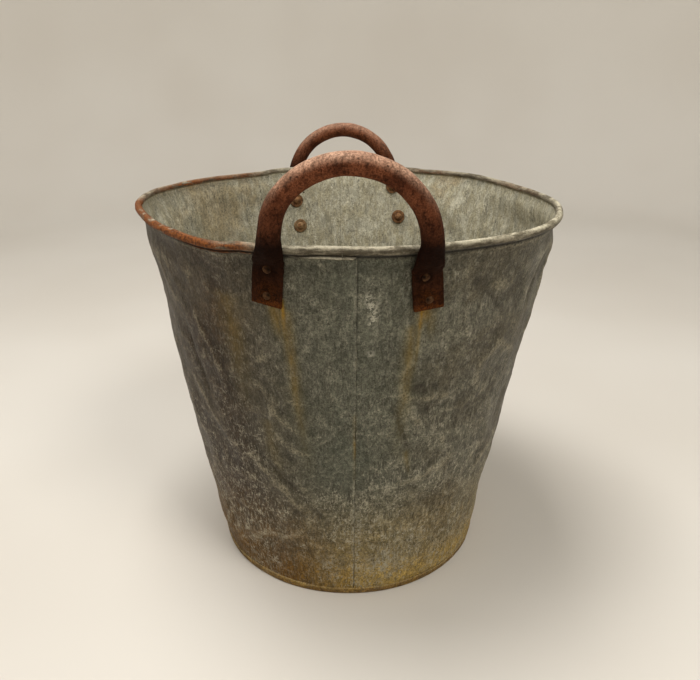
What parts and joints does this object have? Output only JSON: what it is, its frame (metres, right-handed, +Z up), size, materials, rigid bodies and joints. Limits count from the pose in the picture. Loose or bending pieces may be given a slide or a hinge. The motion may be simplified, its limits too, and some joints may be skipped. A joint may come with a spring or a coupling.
{
  "type": "florist bucket",
  "caption": "Tapered galvanised sheet metal bucket with a wired rim and two riveted bar handles, for holding cut flowers or plants.",
  "frame": {"origin": "on the floor under the middle of the bucket", "axes": "+Z up along the bucket's axis, the front handle towards -Y, +X to the right as seen from the front"},
  "size_m": [0.4492, 0.4916, 0.4885],
  "materials": {
    "zinc": "dull weathered galvanised",
    "iron": "rusted",
    "wire": "drawn wire",
    "fixings": "rusted"
  },
  "bodies": {
    "root": {"body_panel_left": "zinc", "body_panel_right": "zinc", "rim_wire": "wire", "bottom_pan": "zinc", "handle_front": "iron", "handle_rear": "iron", "rivet_front_left_upper": "fixings", "washer_front_left_upper": "fixings", "rivet_front_left_lower": "fixings", "washer_front_left_lower": "fixings", "rivet_front_right_upper": "fixings", "washer_front_right_upper": "fixings", "rivet_front_right_lower": "fixings", "washer_front_right_lower": "fixings", "rivet_rear_right_upper": "fixings", "washer_rear_right_upper": "fixings", "rivet_rear_right_lower": "fixings", "washer_rear_right_lower": "fixings", "rivet_rear_left_upper": "fixings", "washer_rear_left_upper": "fixings", "rivet_rear_left_lower": "fixings", "washer_rear_left_lower": "fixings"}
  },
  "joints": []
}
